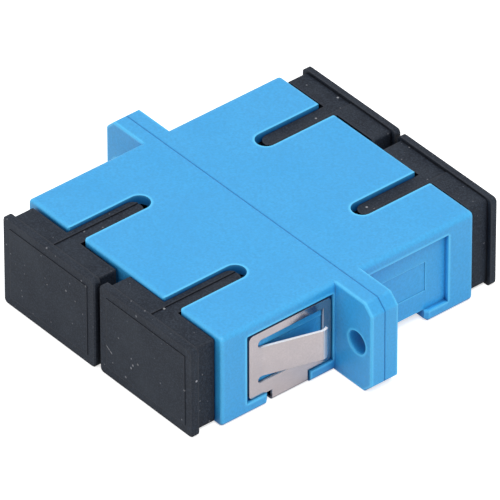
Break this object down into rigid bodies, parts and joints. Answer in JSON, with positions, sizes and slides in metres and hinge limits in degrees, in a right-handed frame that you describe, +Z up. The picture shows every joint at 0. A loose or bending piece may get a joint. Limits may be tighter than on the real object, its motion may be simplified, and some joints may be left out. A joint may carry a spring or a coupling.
{
  "type": "fibre optic adapter",
  "caption": "Blue flanged duplex adapter for push-pull fibre connectors, with a sprung steel panel clip and black dust caps in its ports.",
  "frame": {"origin": "centre of the flat bottom, on the parting plane between the two housing halves", "axes": "X across the two ports, -Y out of the front ports, +Y out of the rear ports, +Z up towards the key slots"},
  "size_m": [0.0352, 0.034, 0.0093],
  "materials": {
    "blue_plastic": "fine satin moulding",
    "black_plastic": "fine matte moulding",
    "clip_steel": "rolled spring sheet",
    "holder_plastic": "natural moulding",
    "sleeve_ceramic": "polished"
  },
  "bodies": {
    "adapter": {"front_housing": "blue_plastic", "rear_housing": "blue_plastic", "panel_clip": "clip_steel", "sleeve_holder_front_left": "holder_plastic", "sleeve_holder_front_right": "holder_plastic", "sleeve_holder_rear_left": "holder_plastic", "sleeve_holder_rear_right": "holder_plastic", "split_sleeve_left": "sleeve_ceramic", "split_sleeve_right": "sleeve_ceramic"},
    "cap_front_left": {"dust_cap_front_left": "black_plastic"},
    "cap_front_right": {"dust_cap_front_right": "black_plastic"},
    "cap_rear_left": {"dust_cap_rear_left": "black_plastic"},
    "cap_rear_right": {"dust_cap_rear_right": "black_plastic"}
  },
  "joints": [
    {"name": "cap_front_left_pull", "type": "slide", "parent": "adapter", "child": "cap_front_left", "axis": [0, -1, 0], "range_m": [0, 0.012]},
    {"name": "cap_front_right_pull", "type": "slide", "parent": "adapter", "child": "cap_front_right", "axis": [0, -1, 0], "range_m": [0, 0.012]},
    {"name": "cap_rear_left_pull", "type": "slide", "parent": "adapter", "child": "cap_rear_left", "axis": [0, 1, 0], "range_m": [0, 0.012]},
    {"name": "cap_rear_right_pull", "type": "slide", "parent": "adapter", "child": "cap_rear_right", "axis": [0, 1, 0], "range_m": [0, 0.012]}
  ]
}
